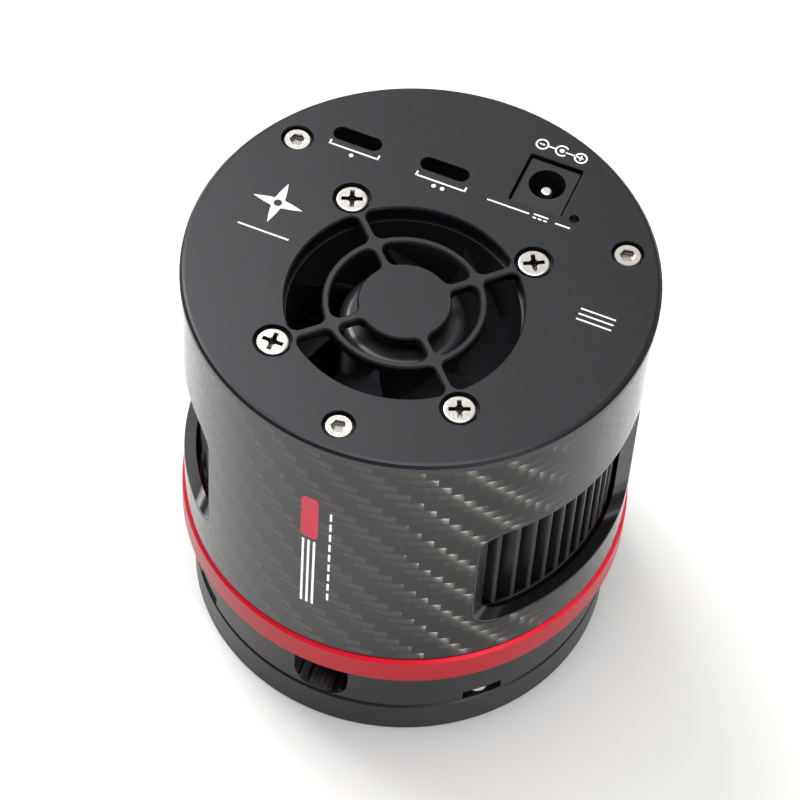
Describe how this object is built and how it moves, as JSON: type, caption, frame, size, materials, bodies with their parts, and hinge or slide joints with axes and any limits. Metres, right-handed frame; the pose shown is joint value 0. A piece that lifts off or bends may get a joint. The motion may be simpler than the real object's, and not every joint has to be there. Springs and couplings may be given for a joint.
{
  "type": "cooled astronomy camera",
  "caption": "Round cooled astronomy camera with a carbon shell, red cooler ring, rear fan grille and connectors, and a threaded tilt plate at the front.",
  "frame": {"origin": "centre of the front face, which the camera stands on", "axes": "+Z towards the fan cover, +Y towards the connectors, +X along the row of connectors"},
  "size_m": [0.078, 0.078, 0.0828],
  "materials": {
    "bare_aluminium": "machined",
    "black_anodised": "satin black anodised",
    "black_fins": "black anodised",
    "black_plastic": "smooth black",
    "black_steel": "black oxide",
    "bronze": "sintered bronze",
    "carbon_weave": "woven carbon under a clear coat",
    "coated_glass": "anti-reflection coated",
    "copper_wire": "enamelled copper",
    "cover_anodised": "matt dark grey anodised",
    "dark_plastic": "moulded black",
    "fan_plastic": "moulded black",
    "green_board": "circuit board",
    "grey_foam": "closed-cell foam",
    "heater_film": "amber film",
    "jack_plastic": "moulded dark grey",
    "lead_plastic": "wire insulation",
    "magnet": "bonded magnet",
    "nickel_steel": "nickel plated",
    "pellet_metal": "dull metal",
    "port_metal": "bright metal",
    "red_anodised": "satin red anodised",
    "sensor_package": "ceramic package",
    "soft_rubber": "moulded black",
    "white_ceramic": "white alumina",
    "white_plastic": "moulded white"
  },
  "bodies": {
    "camera": {"back_cover": "cover_anodised", "board_brackets": "bare_aluminium", "board_chips": "dark_plastic", "board_header": "dark_plastic", "cable_seal": "soft_rubber", "carbon_shell": "carbon_weave", "cold_finger": "bare_aluminium", "cooler_housing": "red_anodised", "cover_posts": "bare_aluminium", "cover_screws": "nickel_steel", "dc_jack": "jack_plastic", "dc_jack_pin": "port_metal", "desiccant_pack": "grey_foam", "dew_heater": "heater_film", "fan_bearing": "bronze", "fan_circuit_board": "green_board", "fan_connector": "dark_plastic", "fan_frame": "fan_plastic", "fan_lead": "lead_plastic", "fan_screws": "nickel_steel", "fan_stator": "pellet_metal", "fan_windings": "copper_wire", "flex_connector": "dark_plastic", "front_housing": "black_anodised", "heat_sink": "black_fins", "heat_sink_screws": "black_steel", "heat_sink_seal": "soft_rubber", "housing_screws": "black_steel", "housing_seal": "soft_rubber", "image_sensor": "sensor_package", "insulation_foam": "grey_foam", "io_board": "green_board", "io_posts": "bare_aluminium", "io_screws": "black_steel", "main_board": "green_board", "outlet_frame_left": "black_plastic", "outlet_frame_right": "black_plastic", "peltier_cold_plate": "white_ceramic", "peltier_hot_plate": "white_ceramic", "peltier_pellets": "pellet_metal", "sensor_board": "green_board", "sensor_connector": "dark_plastic", "sensor_cover_glass": "coated_glass", "sensor_flex": "heater_film", "sensor_standoffs": "white_plastic", "shell_gasket": "soft_rubber", "status_light": "white_plastic", "tilt_pull_screws": "black_steel", "usb_port_left": "port_metal", "usb_port_right": "port_metal", "usb_tongues": "dark_plastic", "window_glass": "coated_glass", "window_retaining_ring": "black_anodised", "window_seal": "soft_rubber"},
    "fan": {"fan_rotor": "fan_plastic", "fan_magnet": "magnet", "fan_shaft": "pellet_metal"},
    "tilt_seal": {"tilt_seal_ring": "soft_rubber"},
    "tilt_plate": {"tilt_plate": "black_anodised", "tilt_jack_screws": "nickel_steel"}
  },
  "joints": [
    {"name": "fan_spin", "type": "hinge", "parent": "camera", "child": "fan", "pos_m": [0, -0.0071, 0.072], "axis": [0, 0, 1], "continuous": true},
    {"name": "tilt_about_x", "type": "hinge", "parent": "camera", "child": "tilt_seal", "pos_m": [0, 0, 0.00735], "axis": [1, 0, 0], "range_deg": [-0.35, 0.35]},
    {"name": "tilt_about_y", "type": "hinge", "parent": "tilt_seal", "child": "tilt_plate", "pos_m": [0, 0, 0.00735], "axis": [0, 1, 0], "range_deg": [-0.35, 0.35]}
  ]
}
